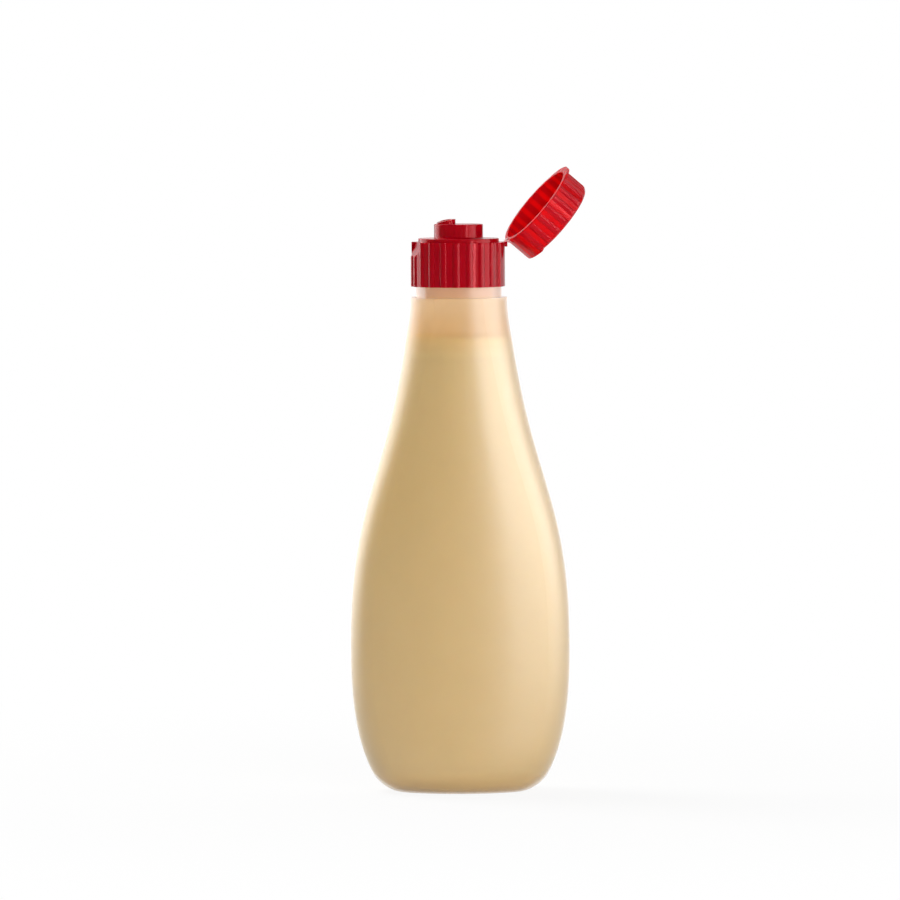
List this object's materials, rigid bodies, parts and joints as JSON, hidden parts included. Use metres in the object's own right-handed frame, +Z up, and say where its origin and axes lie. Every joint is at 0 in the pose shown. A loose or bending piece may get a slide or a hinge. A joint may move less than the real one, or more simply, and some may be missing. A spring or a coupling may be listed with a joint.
{
  "type": "mayonnaise squeeze bottle",
  "caption": "Pear-shaped see-through squeeze bottle of mayonnaise with a flat oval body, a ribbed screw cap and a hinged flip lid, shown open.",
  "frame": {"origin": "centre of the flat base, on the axis of the neck", "axes": "+Z up along the neck, X across the broad side, Y through the thin side; the hinge of the lid is 13 degrees from +X towards +Y"},
  "size_m": [0.0881, 0.0477, 0.232],
  "materials": {
    "bottle_plastic": "smooth milky clear polyethylene, semi-gloss",
    "mayonnaise": "thick smooth cream, satin",
    "cap_plastic": "red translucent polypropylene, glossy",
    "hinge_plastic": "thin red polypropylene film, pale where it is stretched"
  },
  "bodies": {
    "bottle": {"bottle": "bottle_plastic", "mayonnaise": "mayonnaise", "cap_base": "cap_plastic", "hinge_film_front": "hinge_plastic", "hinge_film_back": "hinge_plastic", "hinge_strap": "hinge_plastic"},
    "lid": {"flip_lid": "cap_plastic"}
  },
  "joints": [
    {"name": "lid_hinge", "type": "hinge", "parent": "bottle", "child": "lid", "pos_m": [0.01734, 0.004, 0.2044], "axis": [-0.225, 0.9744, 0], "range_deg": [-130, 40], "deforming": ["hinge_film_front", "hinge_film_back", "hinge_strap"]}
  ]
}
